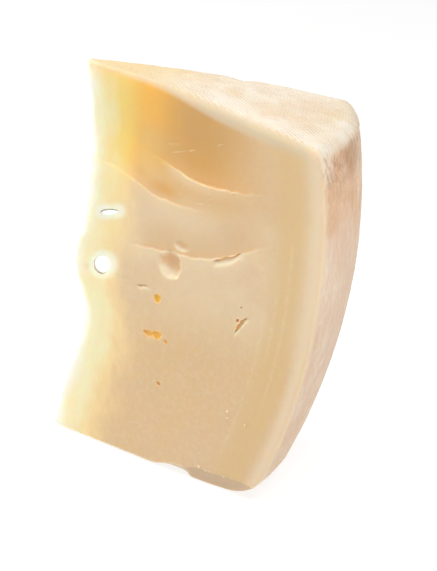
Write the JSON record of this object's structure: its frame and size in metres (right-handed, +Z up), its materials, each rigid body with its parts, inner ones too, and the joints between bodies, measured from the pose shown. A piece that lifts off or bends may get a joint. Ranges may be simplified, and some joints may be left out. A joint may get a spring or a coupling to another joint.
{
  "type": "cheese wedge",
  "caption": "Wedge of hard pale-yellow cheese cut from a small tall wheel, with a cloth-marked rind on top and round the bulging rim, shaved on one cut face.",
  "frame": {"origin": "centre of the bounding box in plan, at the height of the flat bottom that the wedge stands on", "axes": "+Z up along the wheel's axis, +X from the thin tip along the wedge's bisector to the rim, -Y towards the shaved cut face"},
  "size_m": [0.0888, 0.0594, 0.1208],
  "materials": {
    "cheese": "smooth waxy cut cheese, pale yellow, creamier towards the rind"
  },
  "bodies": {
    "root": {"wedge": "cheese"}
  },
  "joints": []
}
